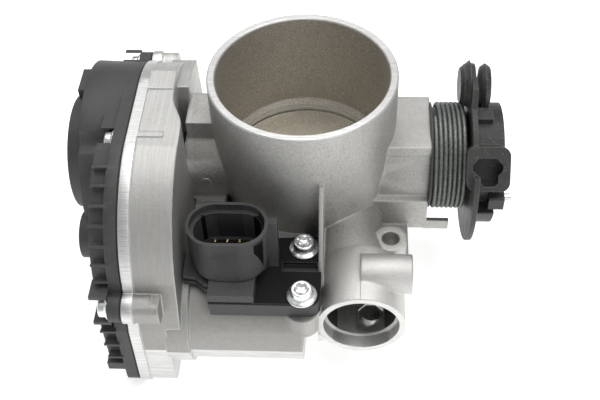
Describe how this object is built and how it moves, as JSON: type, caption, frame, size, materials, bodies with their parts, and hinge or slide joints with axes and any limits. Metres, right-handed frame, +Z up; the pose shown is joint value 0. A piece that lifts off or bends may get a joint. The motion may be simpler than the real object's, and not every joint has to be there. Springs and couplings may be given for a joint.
{
  "type": "throttle body",
  "caption": "Cast throttle body with a round air inlet, a sprung cable quadrant, a side port and a motor-driven idle actuator under a plastic cover.",
  "frame": {"origin": "centre of the throttle bore on the manifold flange face", "axes": "+Z up the bore towards the air inlet, +X along the throttle shaft towards the cable quadrant, -Y towards the side port"},
  "size_m": [0.162, 0.1152, 0.0911],
  "materials": {
    "cast_aluminium": "sand-grained die casting with machined rim and joint faces",
    "shaft_steel": "ground steel",
    "plate_metal": "machined disc, slightly warm grey",
    "zinc_steel": "bright zinc plated",
    "bearing_steel": "polished bearing steel",
    "seal_rubber": "black rubber",
    "black_plastic": "glass-filled black plastic",
    "spring_steel": "oiled spring steel, dark grey",
    "quadrant_plastic": "dark grey glass-filled plastic",
    "gear_plastic": "natural nylon",
    "pinion_brass": "brass",
    "motor_steel": "plated drawn steel",
    "plug_steel": "plain pressed plug",
    "board_plastic": "sensor track board"
  },
  "bodies": {
    "housing": {"body_casting": "cast_aluminium", "case_bearing": "bearing_steel", "lever_bearing": "bearing_steel", "shaft_seals": "seal_rubber", "spring_bush": "black_plastic", "return_spring": "spring_steel", "intermediate_axle": "shaft_steel", "motor_magnets": "motor_steel", "motor_can": "motor_steel", "motor_end_plate": "motor_steel", "passage_plug": "plug_steel", "cover_gasket": "seal_rubber", "actuator_cover": "black_plastic", "cover_screws": "zinc_steel", "connector_housing": "black_plastic", "connector_terminals": "pinion_brass", "connector_screws": "zinc_steel", "sensor_board": "board_plastic", "limp_home_spring": "spring_steel"},
    "throttle": {"throttle_shaft": "shaft_steel", "throttle_plate": "plate_metal", "plate_screws": "zinc_steel", "cable_quadrant": "quadrant_plastic", "quadrant_pin": "zinc_steel", "quadrant_washer": "zinc_steel", "quadrant_nut": "zinc_steel", "sensor_wiper": "black_plastic", "sector_circlip": "spring_steel"},
    "sector": {"idle_sector": "gear_plastic"},
    "intermediate": {"intermediate_gear": "gear_plastic"},
    "rotor": {"motor_shaft": "shaft_steel", "motor_pinion": "pinion_brass", "motor_rotor": "motor_steel"}
  },
  "joints": [
    {"name": "throttle_turn", "type": "hinge", "parent": "housing", "child": "throttle", "pos_m": [0, 0, 0.028], "axis": [-1, 0, 0], "range_deg": [0, 80], "stiffness_Nm_per_rad": 0.25, "springref_deg": -40.11},
    {"name": "idle_sector_turn", "type": "hinge", "parent": "housing", "child": "sector", "pos_m": [-0.0526, 0, 0.028], "axis": [-1, 0, 0], "range_deg": [0, 18], "stiffness_Nm_per_rad": 0.03},
    {"name": "intermediate_turn", "type": "hinge", "parent": "housing", "child": "intermediate", "pos_m": [-0.055, -0.03448, 0.01895], "axis": [-1, 0, 0], "range_deg": [-73.5, 0]},
    {"name": "motor_turn", "type": "hinge", "parent": "housing", "child": "rotor", "pos_m": [-0.055, -0.0535, 0.001], "axis": [-1, 0, 0], "range_deg": [0, 244.6]}
  ],
  "couplings": [
    {"joint": "intermediate_turn", "follows": "idle_sector_turn", "ratio": -4.0714},
    {"joint": "motor_turn", "follows": "idle_sector_turn", "ratio": 13.571}
  ]
}
